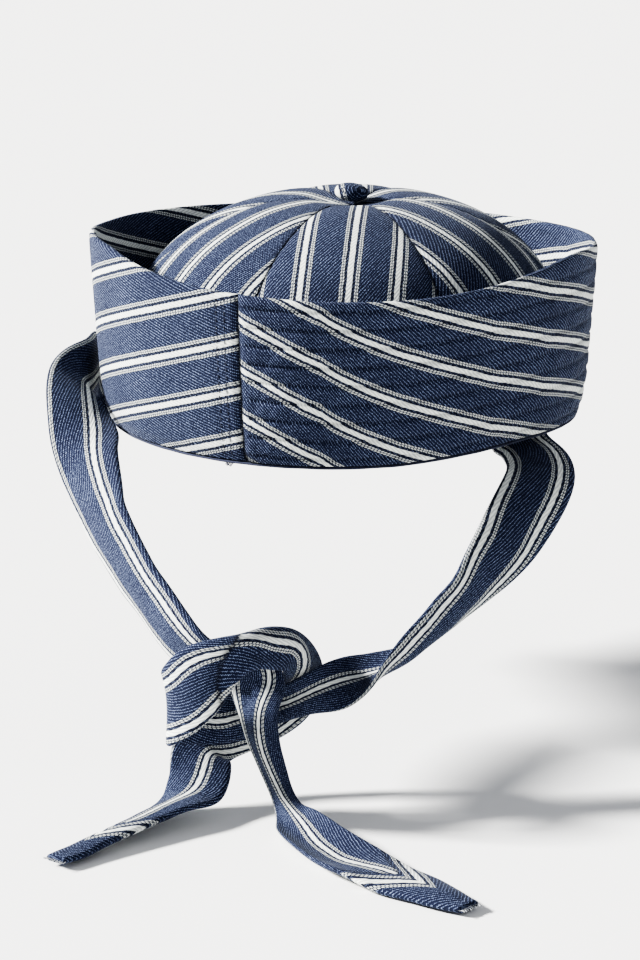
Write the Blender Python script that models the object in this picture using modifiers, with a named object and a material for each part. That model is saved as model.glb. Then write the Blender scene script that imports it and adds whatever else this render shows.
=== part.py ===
"""A striped sailor cap: a domed crown of six gores under a covered button, a tall turned-up brim in two
panels, a thin binding round the head opening, and two cloth ties that are knotted below the front.

Metres, +Z up. The origin is the middle of the head opening, level with the brim's lower edge. The wearer's
seam of the brim faces -Y and a little to -X. Angles go round from the front, -Y, towards +X.
"""

import math

import bmesh
import bpy
from mathutils import Vector

MM = 0.001
CLEARANCE = 0.3  # mm, between pieces that touch

# The crown, in mm
GORE_SEAMS = [27, 87, 150, 210, 272, 332]  # degrees round from the front
CROWN_CLOTH = 1.8
GORE_PUFF = 2.2  # how far the middle of a gore stands proud of its seams
CROWN_LEAN = 3.5  # how far the top of the dome sits towards +X
# The crown's outer profile, foot to top
CROWN_PROFILE = [
    # radius, height
    (95.3, 0.6),
    (95.0, 12.0),
    (93.5, 28.0),
    (90.0, 43.0),
    (83.0, 57.0),
    (74.0, 68.0),
    (63.0, 76.5),
    (50.0, 83.0),
    (36.0, 87.6),
    (22.0, 89.4),
    (11.0, 88.2),
    (3.0, 87.0),
]
GORE_STEPS_ROUND = 6
GORE_STEPS_UP = 13

# The covered button on the crown, in mm
BUTTON_RADIUS = 7.0
BUTTON_HEIGHT = 7.4
BUTTON_TILT = 6.0  # degrees, down towards +X

# The brim, in mm
BRIM_CLOTH = 3.0
FRONT_SEAM = -26.0  # degrees, where the plain and the quilted panel meet at the front
BACK_SEAM = 166.0  # degrees, where they meet behind
# The height of the rim and of the foot round the cap
BRIM_EDGES = [
    # angle, rim, foot
    (-180.0, 67.0, 0.0),
    (-150.0, 69.0, 0.0),
    (-125.0, 71.6, 0.0),
    (-105.0, 73.6, 0.0),
    (-84.0, 77.0, 0.0),
    (-66.0, 77.6, 0.0),
    (-50.0, 73.5, 0.0),
    (-32.0, 70.0, 0.0),
    (-10.0, 68.2, 0.0),
    (12.0, 68.0, 0.6),
    (31.0, 69.8, 2.6),
    (47.0, 73.0, 3.6),
    (63.0, 75.4, 2.6),
    (80.0, 72.6, 1.0),
    (105.0, 69.8, 0.0),
    (130.0, 67.0, 0.0),
    (155.0, 66.0, 0.0),
]
# The brim's outer radius, foot to rim
BRIM_WALL = [
    # share of the height, radius
    (0.0, 98.6),
    (0.06, 100.2),
    (0.22, 102.0),
    (0.45, 103.4),
    (0.75, 105.0),
    (1.0, 105.9),
]
BRIM_STEP = 7.0  # degrees between the sections round the cap
BRIM_STEPS_UP = 7

# The binding under the brim and the crown, in mm
BINDING_INNER = 92.8
BINDING_OUTER = 98.4
BINDING_THICK = 1.6

# The ties, in mm
TIE_CLOTH = 2.6
TIE_SPACING = 4.5  # between the cross-sections along a tie
TIE_ACROSS = 4  # faces across a tie
# Each row is a section: its middle, the way across the cloth from the near stripe's edge to the other,
# how wide the cloth is there, and how far its middle stands proud of its edges.
LEFT_TIE = [
    # x, y, z, across_x, across_y, across_z, wide, crown
    (-79.5, 42.5, 13, -5, -9, 0, 28, 1),
    (-79.5, 42.5, 5, -5, -9, 0, 28, 1),
    (-79.5, 42.5, -3, -5, -9, 0, 28, 1),
    (-84, 44.5, -7, -5, -9, 0, 28, 0),
    (-93, 47, -9, -5, -9, 0, 28, 0),
    (-102, 45, -4, -4, -9, -2, 28, 0),
    (-107, 38, 4, -1, -7, -7, 28, 0),
    (-108, 27, 11, 1, 0, -10, 28, 1),
    (-109, 9, 15, 2, 5, -8, 28, 1),
    (-111, -8, 14, 5, 6, -6, 28, 2),
    (-111, -26, 11, 8, 4, -4, 28, 2),
    (-108, -44, 4, 10, 0, -2, 29, 2),
    (-104, -62, -7, 9, -4, 1, 29, 2),
    (-101, -76, -16, 8, -6, 2, 29, 2),
    (-95, -96, -26, 7, -7, 3, 28, 3),
    (-87, -112, -34, 7, -6, 4, 28, 3),
    (-78, -129, -44, 7, -6, 4, 26, 3),
    (-68, -145, -53, 7, -5, 4, 24, 2),
    (-59, -156, -58, 8, -3, 5, 21, 1),
    (-53, -161, -63, 7, -1, 7, 17, 0),
    (-46, -161, -66, 6, 0, 8, 15, 0),
    (-39, -161, -70, 8, -1, 6, 14, 0),
    (-35, -162, -77, 9, -3, 2, 16, 1),
    (-34, -165, -87, 8, -5, 2, 19, 2),
    (-31, -168, -99, 7, -7, 2, 22, 3),
    (-27, -170, -109, 4, -9, 2, 23, 3),
    (-22, -177, -116, -2, -9, -1, 22, 2),
    (-18, -189, -117, -6, -7, -3, 22, 2),
    (-11, -204, -118, -7, -7, -2, 23, 2),
    (-2, -217, -119, -7, -7, -1, 25, 1),
    (8, -227, -119, -7, -7, -1, 27, 1),
    (18, -236, -120, -7, -7, 0, 27, 1),
    (28, -245, -120, -7, -7, 0, 24, 1),
    (36, -254, -120, -7, -7, 0, 18, 0),
    (44, -262, -120, -7, -7, 0, 8, 0),
]
RIGHT_TIE = [
    # x, y, z, across_x, across_y, across_z, wide, crown
    (71.5, -55, 17, 6, 8, 0, 28, 1),
    (71.5, -55, 9, 6, 8, 0, 28, 1),
    (71.5, -55, 1, 6, 8, 0, 28, 1),
    (74.5, -57.5, -4, 6, 8, 0, 28, 0),
    (80, -65, -6, 8, 6, 0, 28, 1),
    (81, -76, -8, 10, 3, -1, 28, 2),
    (77, -88, -12, 10, 3, 0, 28, 2),
    (71, -101, -21, 9, 4, 1, 28, 2),
    (64, -112, -29, 8, 5, 1, 28, 2),
    (56, -122, -37, 8, 6, 0, 28, 2),
    (48, -130, -45, 7, 7, 0, 28, 1),
    (40, -135, -52, 5, 8, 0, 28, 0),
    (32, -139, -58, 3, 10, 0, 28, 0),
    (24, -141, -64, 0, 10, 0, 28, 0),
    (15, -143, -68, -1, 10, 2, 27, 0),
    (6, -145, -72, -1, 9, 4, 25, -1),
    (-3, -146, -75, -1, 8, 6, 22, -1),
    (-13, -148, -78, -1, 6, 8, 17, -1),
    (-22, -149, -82, 0, 4, 9, 14, 0),
    (-31, -150, -83, 0, 3, 9, 16, 0),
    (-40, -150, -85, 1, 3, 9, 19, 0),
    (-48, -151, -86, 1, 2, 10, 22, 0),
    (-56, -152, -85, 1, 1, 10, 24, 0),
    (-63, -154, -83, 0, 0, 10, 26, 1),
    (-67, -159, -81, 0, 0, 10, 27, 1),
    (-66, -166, -78, 0, 0, 10, 28, 1),
    (-61, -171, -71, 0, 1, 10, 29, 1),
    (-54, -174, -64, 0, 1, 10, 28, 2),
    (-46, -174, -58, 0, -1, 10, 23, 1),
    (-39, -172, -54, 0, -7, 7, 18, 0),
    (-34, -166, -54, 0, -10, -2, 18, -1),
    (-29, -159, -56, -1, -8, -6, 21, -1),
    (-21, -150, -58, -3, -5, -8, 21, -1),
    (-16, -142, -66, -6, -3, -7, 19, -1),
    (-15, -136, -76, -8, -1, -6, 19, 0),
    (-19, -133, -86, -10, 0, 0, 18, 0),
    (-29, -134, -92, -9, 0, 4, 20, 0),
    (-40, -137, -95, -8, 0, 5, 22, 0),
    (-50, -140, -98, -10, 0, 3, 24, 1),
    (-57, -146, -102, -10, 0, 1, 24, 1),
    (-58, -153, -108, -10, 0, 0, 24, 2),
    (-60, -161, -114, -10, 2, -1, 26, 2),
    (-66, -169, -117, -9, 4, -2, 28, 1),
    (-75, -178, -117, -8, 5, -3, 28, 1),
    (-86, -190, -117, -8, 5, -3, 27, 1),
    (-97, -203, -118, -8, 5, -2, 25, 1),
    (-104, -211, -119, -8, 5, -1, 19, 1),
    (-109, -217, -120, -8, 5, 0, 8, 0),
]

# Cloth colours and finish
NAVY = (0.055, 0.068, 0.145, 1.0)
PALE_NAVY = (0.075, 0.09, 0.18, 1.0)
BINDING_NAVY = (0.02, 0.024, 0.055, 1.0)
CLOTH_ROUGHNESS = 0.9


def clear_scene():
    for old in list(bpy.data.objects):
        bpy.data.objects.remove(old)


def curve_through(before, start, end, after, share):
    """A point on the smooth curve from start to end, whose slopes follow the two points outside."""
    square, cube = share * share, share**3
    return tuple(
        0.5 * (2 * b + (c - a) * share + (2 * a - 5 * b + 4 * c - d) * square + (3 * b - a - 3 * c + d) * cube)
        for a, b, c, d in zip(before, start, end, after)
    )


def smooth_row(rows, place):
    """The table's row at this place, a fraction of the way from one row to the next included."""
    last = len(rows) - 1
    at = min(int(place), last - 1)
    return curve_through(
        rows[max(at - 1, 0)], rows[at], rows[at + 1], rows[min(at + 2, last)], place - at
    )


def looked_up(rows, value):
    """The columns after the first, at this value of the first, which rises or falls down the table."""
    rising = rows[-1][0] > rows[0][0]
    for at in range(len(rows) - 1):
        low, high = rows[at][0], rows[at + 1][0]
        if (low <= value <= high) if rising else (high <= value <= low):
            return smooth_row(rows, at + (value - low) / (high - low))[1:]
    return rows[-1][1:] if (value > rows[-1][0]) == rising else rows[0][1:]


def edges_at(angle):
    """The rim's and the foot's height at this angle round the cap."""
    first, last = BRIM_EDGES[0], BRIM_EDGES[-1]
    closed = [(last[0] - 360, *last[1:]), *BRIM_EDGES, (first[0] + 360, *first[1:])]
    return looked_up(closed, (angle + 180) % 360 - 180)


def round_axis(angle, radius, height):
    """A point in mm at this angle from the front, as metres."""
    turn = math.radians(angle)
    return Vector((radius * math.sin(turn), -radius * math.cos(turn), height)) * MM


def cloth_material(name, colour):
    material = bpy.data.materials.new(name)
    material.diffuse_color = colour
    material.use_nodes = True
    shader = material.node_tree.nodes["Principled BSDF"]
    shader.inputs["Base Color"].default_value = colour
    shader.inputs["Roughness"].default_value = CLOTH_ROUGHNESS
    shader.inputs["Metallic"].default_value = 0.0
    return material


def add_object(name, mesh, colour, collection):
    mesh.materials.append(cloth_material(name + "_cloth", colour))
    mesh.shade_smooth()
    mesh.set_sharp_from_angle(angle=math.radians(50))
    made = bpy.data.objects.new(name, mesh)
    collection.objects.link(made)
    return made


def sheet_mesh(name, steps_round, steps_up, place):
    """An open sheet: a grid whose points are placed by their share, 0 to 1, of the way round and up."""
    shape = bmesh.new()
    bmesh.ops.create_grid(shape, x_segments=steps_round, y_segments=steps_up, size=1)
    for point in shape.verts:
        point.co = place((point.co.x + 1) / 2, (point.co.y + 1) / 2)
    mesh = bpy.data.meshes.new(name)
    shape.to_mesh(mesh)
    shape.free()
    return mesh


def thicken(made, thickness, offset):
    """Gives a sheet its cloth thickness in mm: offset -1 grows it behind the faces, 0 to both sides."""
    wall = made.modifiers.new("cloth", "SOLIDIFY")
    wall.thickness = thickness * MM
    wall.offset = offset
    wall.use_even_offset = True


def brim_point(angle, share):
    """A point of the brim's outer face: share is 0 at the foot and 1 at the rim."""
    rim, foot = edges_at(angle)
    (radius,) = looked_up(BRIM_WALL, share)
    return round_axis(angle, radius, foot + share * (rim - foot))


def brim_panel(name, start, end, colour, collection):
    """One panel of the brim, from one seam to the other, with the clearance left at each."""
    gap = math.degrees(CLEARANCE / BRIM_WALL[0][1])
    start, end = start + gap, end - gap
    steps = round((end - start) / BRIM_STEP)
    mesh = sheet_mesh(
        name, steps, BRIM_STEPS_UP, lambda along, up: brim_point(start + (end - start) * along, up)
    )
    made = add_object(name, mesh, colour, collection)
    thicken(made, BRIM_CLOTH, -1)
    return made


def gore_point(start, end, across, up):
    """A point of a gore's outer face: across goes from -1 to 1 between its seams, up from 0 to 1."""
    radius, height = smooth_row(CROWN_PROFILE, up * (len(CROWN_PROFILE) - 1))
    gap = math.degrees(CLEARANCE / 2 / radius)
    angle = (start + end) / 2 + across * ((end - start) / 2 - gap)
    outward = min(1, radius / CROWN_PROFILE[0][0])
    rise = min(1, up * 6)
    puff = GORE_PUFF * (1 - across**4) * math.sin(math.pi * min(1, 0.12 + up * 0.88)) ** 0.7
    proud = (puff - GORE_PUFF / 2) * rise
    foot = edges_at(angle)[1] * max(0, 1 - height / 40)
    point = round_axis(angle, radius + proud * outward, height + foot + proud * (1 - outward))
    point.x += CROWN_LEAN * MM * math.sin(math.pi / 2 * up)
    return point


def crown_gore(number, collection):
    name = f"crown_gore_{number}"
    start = GORE_SEAMS[number - 1]
    end = GORE_SEAMS[number] if number < len(GORE_SEAMS) else GORE_SEAMS[0] + 360
    mesh = sheet_mesh(
        name, GORE_STEPS_ROUND, GORE_STEPS_UP, lambda along, up: gore_point(start, end, 2 * along - 1, up)
    )
    made = add_object(name, mesh, NAVY if number % 2 else PALE_NAVY, collection)
    thicken(made, CROWN_CLOTH, -1)
    return made


def crown_button(collection):
    """A turned disc with a domed top, which sits over the tips of the gores."""
    steps = 6
    profile = [(0.0, 1.0)]
    profile += [
        (math.sin(math.pi / 2 * at / steps), 0.3 + 0.7 * math.cos(math.pi / 2 * at / steps))
        for at in range(1, steps + 1)
    ]
    profile += [(0.86, 0.04), (0.7, 0.0), (0.0, 0.0)]
    shape = bmesh.new()
    points = [shape.verts.new((r * BUTTON_RADIUS * MM, 0, h * BUTTON_HEIGHT * MM)) for r, h in profile]
    for first, second in zip(points, points[1:]):
        shape.edges.new((first, second))
    mesh = bpy.data.meshes.new("crown_button")
    shape.to_mesh(mesh)
    shape.free()
    made = add_object("crown_button", mesh, NAVY, collection)
    turned = made.modifiers.new("turned", "SCREW")
    turned.steps = turned.render_steps = 20
    turned.use_merge_vertices = True
    turned.merge_threshold = 0.00001
    top = CROWN_PROFILE[-1][1] + 3 * CLEARANCE
    made.location = Vector((CROWN_LEAN, 0, top)) * MM
    made.rotation_euler.y = math.radians(BUTTON_TILT)
    return made


def bottom_binding(collection):
    """The thin bound edge that closes the brim and the crown together round the head opening."""

    def place(along, out):
        angle = -180 + 360 * along
        radius = BINDING_INNER + (BINDING_OUTER - BINDING_INNER) * out
        return round_axis(angle, radius, edges_at(angle)[1] - CLEARANCE)

    mesh = sheet_mesh("bottom_binding", round(360 / BRIM_STEP), 2, place)
    joined = bmesh.new()
    joined.from_mesh(mesh)
    bmesh.ops.remove_doubles(joined, verts=joined.verts, dist=1e-6)
    joined.to_mesh(mesh)
    joined.free()
    made = add_object("bottom_binding", mesh, BINDING_NAVY, collection)
    thicken(made, BINDING_THICK, 1)
    return made


def tie_sections(rows):
    """Frames along a tie at an even spacing: middle, tangent, way across, width and crown."""
    fine = 12
    samples = [smooth_row(rows, at / fine) for at in range((len(rows) - 1) * fine + 1)]
    middles = [Vector(row[:3]) for row in samples]
    run = [0.0]
    for before, after in zip(middles, middles[1:]):
        run.append(run[-1] + (after - before).length)
    count = round(run[-1] / TIE_SPACING)
    sections, at = [], 0
    for step in range(count + 1):
        wanted = run[-1] * step / count
        while at < len(run) - 2 and run[at + 1] < wanted:
            at += 1
        share = (wanted - run[at]) / (run[at + 1] - run[at])
        row = [a + (b - a) * share for a, b in zip(samples[at], samples[at + 1])]
        tangent = (middles[min(at + 2, len(run) - 1)] - middles[max(at - 1, 0)]).normalized()
        across = Vector(row[3:6])
        across = (across - tangent * across.dot(tangent)).normalized()
        sections.append((Vector(row[:3]), tangent, across, row[6], row[7]))
    return sections


def tie(name, rows, colour, collection):
    """A tie: two layers of cloth through its sections, arched across by each section's crown."""
    sections = tie_sections(rows)

    def place(along, side):
        middle, tangent, across, width, crown = sections[round(along * (len(sections) - 1))]
        share = 2 * side - 1
        facing = tangent.cross(across)
        return (middle + across * (share * width / 2) + facing * (crown * (0.5 - share**2))) * MM

    mesh = sheet_mesh(name, len(sections) - 1, TIE_ACROSS, place)
    made = add_object(name, mesh, colour, collection)
    thicken(made, TIE_CLOTH, 0)
    return made


clear_scene()
cap = bpy.data.collections.new("sailor_cap")
bpy.context.scene.collection.children.link(cap)
brim_panel("brim_plain_panel", BACK_SEAM - 360, FRONT_SEAM, PALE_NAVY, cap)
brim_panel("brim_quilted_panel", FRONT_SEAM, BACK_SEAM, NAVY, cap)
for gore in range(1, len(GORE_SEAMS) + 1):
    crown_gore(gore, cap)
crown_button(cap)
bottom_binding(cap)
tie("tie_left", LEFT_TIE, NAVY, cap)
tie("tie_right", RIGHT_TIE, PALE_NAVY, cap)
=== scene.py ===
"""A sailor cap of striped twill: a crown of six gores, a covered button, a tall turned-up brim, its binding
and the two ties that are knotted below the front. Sizes are in millimetres, and the meshes in metres."""
import math

import bpy
import numpy as np
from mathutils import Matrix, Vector, noise


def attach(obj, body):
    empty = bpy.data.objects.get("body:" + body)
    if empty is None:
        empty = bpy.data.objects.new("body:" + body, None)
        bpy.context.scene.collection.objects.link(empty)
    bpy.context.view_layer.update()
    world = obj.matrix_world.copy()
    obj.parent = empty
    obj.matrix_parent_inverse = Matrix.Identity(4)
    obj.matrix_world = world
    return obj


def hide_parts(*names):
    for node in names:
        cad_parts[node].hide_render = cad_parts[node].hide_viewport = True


MM = 0.001
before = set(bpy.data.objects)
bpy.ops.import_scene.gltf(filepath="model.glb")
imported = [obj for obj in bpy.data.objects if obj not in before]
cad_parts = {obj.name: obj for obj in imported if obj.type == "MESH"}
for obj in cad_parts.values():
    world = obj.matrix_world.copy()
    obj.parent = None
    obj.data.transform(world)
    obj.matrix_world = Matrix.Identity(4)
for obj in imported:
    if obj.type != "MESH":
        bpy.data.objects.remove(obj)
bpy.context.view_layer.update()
bpy.ops.object.select_all(action="DESELECT")

# Crown cloth: a navy twill woven with narrow white stripes, each with a dark line and a braided white cord
# down both sides. The crown, the brim, the button and the ties are all cut from it.
STRIPE_PITCH = 19.3
STRIPE_HALF = 1.0  # half the white stripe's width
LINE_END = 2.0  # the far side of the dark line, from the stripe's middle
CORD_MIDDLE = 3.05  # the braided cord's middle, from the stripe's middle
CORD_ROW = 0.42  # each of the cord's two rows of stitches, from the cord's middle
CORD_PITCH = 1.5  # from one stitch of a row to the next
TWILL_PITCH = 1.2
FLECK_PITCH = 0.8


def add_math(tree, kind, first, second=None, third=None, clamp=False):
    """A Math node on sockets or plain numbers, and its result."""
    node = tree.nodes.new("ShaderNodeMath")
    node.operation = kind
    node.use_clamp = clamp
    for socket, value in zip(node.inputs, (first, second, third)):
        if isinstance(value, bpy.types.NodeSocket):
            tree.links.new(value, socket)
        elif value is not None:
            socket.default_value = value
    return node.outputs[0]


def add_step(tree, value, low, high, start=0.0, end=1.0):
    """A smooth step from start to end as value goes from low to high."""
    node = tree.nodes.new("ShaderNodeMapRange")
    node.interpolation_type = "SMOOTHSTEP"
    tree.links.new(value, node.inputs["Value"])
    for name, number in (("From Min", low), ("From Max", high), ("To Min", start), ("To Max", end)):
        node.inputs[name].default_value = number
    return node.outputs[0]


def add_mix(tree, share, first, second):
    """The colour between first and second at that share."""
    node = tree.nodes.new("ShaderNodeMix")
    node.data_type = "RGBA"
    for socket, value in ((node.inputs[0], share), (node.inputs[6], first), (node.inputs[7], second)):
        if isinstance(value, bpy.types.NodeSocket):
            tree.links.new(value, socket)
        else:
            socket.default_value = value
    return node.outputs[2]


def add_noise(tree, place, scale, detail=2.0):
    """Soft noise from 0 to 1 at those places, with this many bumps a metre."""
    node = tree.nodes.new("ShaderNodeTexNoise")
    tree.links.new(place, node.inputs["Vector"])
    node.inputs["Scale"].default_value = scale
    node.inputs["Detail"].default_value = detail
    return node.outputs["Fac"]


twill = bpy.data.node_groups.new("striped_twill", "ShaderNodeTree")
for label, kind, way in (
    ("Cloth", "NodeSocketVector", "INPUT"),
    ("First Stripe", "NodeSocketFloat", "INPUT"),
    ("Stripe Pitch", "NodeSocketFloat", "INPUT"),
    ("Twill Turn", "NodeSocketFloat", "INPUT"),
    ("Navy", "NodeSocketColor", "INPUT"),
    ("Fleck", "NodeSocketColor", "INPUT"),
    ("White", "NodeSocketColor", "INPUT"),
    ("Shade Line", "NodeSocketColor", "INPUT"),
    ("Color", "NodeSocketColor", "OUTPUT"),
    ("Height", "NodeSocketFloat", "OUTPUT"),
    ("Roughness", "NodeSocketFloat", "OUTPUT"),
):
    twill.interface.new_socket(label, in_out=way, socket_type=kind)
given = twill.nodes.new("NodeGroupInput").outputs
result = twill.nodes.new("NodeGroupOutput").inputs
split = twill.nodes.new("ShaderNodeSeparateXYZ")
twill.links.new(given["Cloth"], split.inputs[0])
# how far across the stripes and along them, in mm, with the threads' small wobble
wobble = add_noise(twill, given["Cloth"], 260, 1)
across = add_math(twill, "MULTIPLY", split.outputs[0], 1 / MM)
across = add_math(twill, "ADD", across, add_math(twill, "MULTIPLY_ADD", wobble, 0.5, -0.25))
along = add_math(twill, "MULTIPLY", split.outputs[1], 1 / MM)
# the twill: slanted rows of pale flecks over navy
turn_cos = add_math(twill, "COSINE", given["Twill Turn"])
turn_sin = add_math(twill, "SINE", given["Twill Turn"])
over_rows = add_math(twill, "MULTIPLY", across, turn_cos)
over_rows = add_math(twill, "MULTIPLY_ADD", along, turn_sin, over_rows)
along_rows = add_math(twill, "MULTIPLY", along, turn_cos)
along_rows = add_math(twill, "SUBTRACT", along_rows, add_math(twill, "MULTIPLY", across, turn_sin))
fine = add_noise(twill, given["Cloth"], 900, 2)
row_at = add_math(twill, "DIVIDE", over_rows, TWILL_PITCH)
row_at = add_math(twill, "ADD", row_at, add_math(twill, "MULTIPLY", fine, 0.5))
row_number = add_math(twill, "FLOOR", row_at)
row_share = add_math(twill, "SUBTRACT", row_at, row_number)
row_wave = add_math(twill, "COSINE", add_math(twill, "MULTIPLY", row_share, math.tau))
fleck_at = add_math(twill, "DIVIDE", along_rows, FLECK_PITCH)
fleck_at = add_math(twill, "MULTIPLY_ADD", row_number, 0.37, fleck_at)
fleck_wave = add_math(twill, "COSINE", add_math(twill, "MULTIPLY", fleck_at, math.tau))
speckle = add_noise(twill, given["Cloth"], 1500, 2)
weave = add_math(twill, "MULTIPLY_ADD", fleck_wave, 0.55, row_wave)
weave = add_math(twill, "ADD", weave, add_math(twill, "MULTIPLY_ADD", speckle, 3.2, -1.6))
fleck_mask = add_step(twill, weave, 0.75, 1.4)
broad = add_noise(twill, given["Cloth"], 45, 3)
worn = add_math(twill, "MULTIPLY_ADD", broad, 1.1, 0.3)
fleck_mask = add_math(twill, "MULTIPLY", fleck_mask, worn, clamp=True)
# the distance from the nearest stripe's middle
from_first = add_math(twill, "SUBTRACT", across, given["First Stripe"])
half_pitch = add_math(twill, "MULTIPLY", given["Stripe Pitch"], 0.5)
wrapped = add_math(twill, "WRAP", from_first, half_pitch, add_math(twill, "MULTIPLY", half_pitch, -1))
off_stripe = add_math(twill, "ABSOLUTE", wrapped)
off_edge = add_math(twill, "MULTIPLY_ADD", row_wave, 0.1, off_stripe)
white_band = add_step(twill, off_edge, STRIPE_HALF, STRIPE_HALF + 0.2, 1, 0)
dark_band = add_step(twill, off_stripe, LINE_END, LINE_END + 0.3, 1, 0)
dark_band = add_math(twill, "MULTIPLY", add_step(twill, off_edge, STRIPE_HALF, STRIPE_HALF + 0.2), dark_band)
# the braided cord: two rows of slanted white stitches
in_cord = add_math(twill, "SUBTRACT", off_stripe, CORD_MIDDLE)
off_cord = add_math(twill, "ABSOLUTE", in_cord)
outer_row = add_math(twill, "GREATER_THAN", in_cord, 0)
stitch = add_math(twill, "MULTIPLY_ADD", in_cord, 0.75, add_math(twill, "DIVIDE", along, CORD_PITCH))
stitch = add_math(twill, "MULTIPLY_ADD", outer_row, 0.45, stitch)
stitch = add_math(twill, "ABSOLUTE", add_math(twill, "SUBTRACT", add_math(twill, "FRACT", stitch), 0.5))
stitch = add_math(twill, "ADD", stitch, add_math(twill, "MULTIPLY_ADD", fine, 0.3, -0.15))
stitch_mask = add_step(twill, stitch, 0.24, 0.42, 1, 0)
off_row = add_math(twill, "ABSOLUTE", add_math(twill, "SUBTRACT", off_cord, CORD_ROW))
cord_mask = add_math(twill, "MULTIPLY", stitch_mask, add_step(twill, off_row, 0.16, 0.4, 1, 0))
cord_band = add_step(twill, off_cord, 0.75, 1.15, 1, 0)
# the colours laid over each other: flecks on navy, the dark lines, the cord, the white stripe
ground = add_mix(twill, fleck_mask, given["Navy"], given["Fleck"])
ground = add_mix(twill, add_math(twill, "MULTIPLY", dark_band, 0.5), ground, given["Shade Line"])
ground = add_mix(twill, add_math(twill, "MULTIPLY", cord_band, 0.5), ground, given["Shade Line"])
ground = add_mix(twill, add_math(twill, "MULTIPLY", cord_mask, 0.68), ground, given["White"])
white_rows = add_math(twill, "MULTIPLY_ADD", row_wave, -0.2, 0.2)
white_cloth = add_mix(twill, white_rows, given["White"], given["Navy"])
twill.links.new(add_mix(twill, white_band, ground, white_cloth), result["Color"])
# the raised rows, flecks, cord and stripe, and the sunk dark lines
height = add_math(twill, "MULTIPLY_ADD", row_wave, 0.3, add_math(twill, "MULTIPLY", fleck_mask, 0.5))
height = add_math(twill, "MULTIPLY_ADD", cord_mask, 1.0, height)
height = add_math(twill, "MULTIPLY_ADD", white_band, 0.6, height)
height = add_math(twill, "MULTIPLY_ADD", dark_band, -0.7, height)
twill.links.new(height, result["Height"])
twill.links.new(add_math(twill, "MULTIPLY_ADD", fleck_mask, -0.08, 0.93), result["Roughness"])


def new_material(name):
    """A new material, its node tree and its shader."""
    material = bpy.data.materials.new(name)
    material.use_nodes = True
    return material, material.node_tree, material.node_tree.nodes["Principled BSDF"]


def striped_cloth(name, first_stripe, turn, pitch=STRIPE_PITCH):
    """A material of the striped twill, with its first stripe's middle this far into the cloth, in mm, and
    its rows this many degrees off the stripes."""
    material, tree, shader = new_material(name)
    cloth_map = tree.nodes.new("ShaderNodeUVMap")
    cloth_map.uv_map = "UVMap"
    woven = tree.nodes.new("ShaderNodeGroup")
    woven.node_tree = twill
    tree.links.new(cloth_map.outputs[0], woven.inputs["Cloth"])
    for label, value in (
        ("First Stripe", first_stripe),
        ("Stripe Pitch", pitch),
        ("Twill Turn", math.radians(turn)),
        ("Navy", (0.0085, 0.012, 0.033, 1)),
        ("Fleck", (0.25, 0.31, 0.47, 1)),
        ("White", (0.8, 0.83, 0.79, 1)),
        ("Shade Line", (0.005, 0.006, 0.014, 1)),
    ):
        woven.inputs[label].default_value = value
    # the seam_shade attribute darkens the cloth: the seams' own dark lines, and painted shade in grooves,
    # creases and corners
    sewn = tree.nodes.new("ShaderNodeAttribute")
    sewn.attribute_name = "seam_shade"
    seam_and_shade_dark = (0.004, 0.005, 0.011, 1)
    colour = add_mix(tree, sewn.outputs["Fac"], woven.outputs["Color"], seam_and_shade_dark)
    tree.links.new(colour, shader.inputs["Base Color"])
    tree.links.new(woven.outputs["Roughness"], shader.inputs["Roughness"])
    shader.inputs["Sheen Weight"].default_value = 0.07
    shader.inputs["Sheen Roughness"].default_value = 0.4
    shader.inputs["Sheen Tint"].default_value = (0.75, 0.82, 1.0, 1)
    shader.inputs["Specular IOR Level"].default_value = 0.2
    bump = tree.nodes.new("ShaderNodeBump")
    bump.inputs["Strength"].default_value = 0.6
    bump.inputs["Distance"].default_value = 0.00022
    tree.links.new(woven.outputs["Height"], bump.inputs["Height"])
    tree.links.new(bump.outputs[0], shader.inputs["Normal"])
    return material


def smooth_between(rows, at):
    """The table's rows at these places, a fraction of the way between rows included, on a smooth curve."""
    rows, at = np.asarray(rows, float), np.asarray(at, float)
    low = np.clip(at.astype(int), 0, len(rows) - 2)
    t = (at - low)[..., None]
    a, b = rows[np.maximum(low - 1, 0)], rows[low]
    c, d = rows[low + 1], rows[np.minimum(low + 2, len(rows) - 1)]
    return 0.5 * (2 * b + (c - a) * t + (2 * a - 5 * b + 4 * c - d) * t**2 + (3 * b - a - 3 * c + d) * t**3)


def looked_up(rows, value):
    """The columns after the first at these values of the first column, which rises down the table."""
    rows = np.asarray(rows, float)
    return smooth_between(rows[:, 1:], np.interp(value, rows[:, 0], np.arange(len(rows))))


def rumple(points, size, seed):
    """Soft noise from -1 to 1 at these points in mm, its bumps about that size."""
    shift = Vector((seed * 7.1, seed * 3.3, seed * 5.7))
    return np.array([noise.noise(Vector(point) / size + shift) for point in points.tolist()])


def points_of(mesh):
    """The mesh's points, a row each."""
    spots = np.empty(len(mesh.vertices) * 3)
    mesh.vertices.foreach_get("co", spots)
    return spots.reshape(-1, 3)


def corners_of(mesh):
    """The number of the point that each corner of each face stands on."""
    corners = np.empty(len(mesh.loops), int)
    mesh.loops.foreach_get("vertex_index", corners)
    return corners


def lay_out(mesh, places, flat):
    """Moves the mesh's points to these places and maps its corners to the uncut cloth, both in mm."""
    mesh.vertices.foreach_set("co", (places * MM).ravel())
    mesh.uv_layers.active.name = "UVMap"
    mesh.uv_layers.active.data.foreach_set("uv", (flat * MM).ravel())


def smooth_and_leave():
    """Shades the selected piece smooth and leaves nothing selected."""
    bpy.ops.object.shade_smooth()
    bpy.ops.object.select_all(action="DESELECT")


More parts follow.
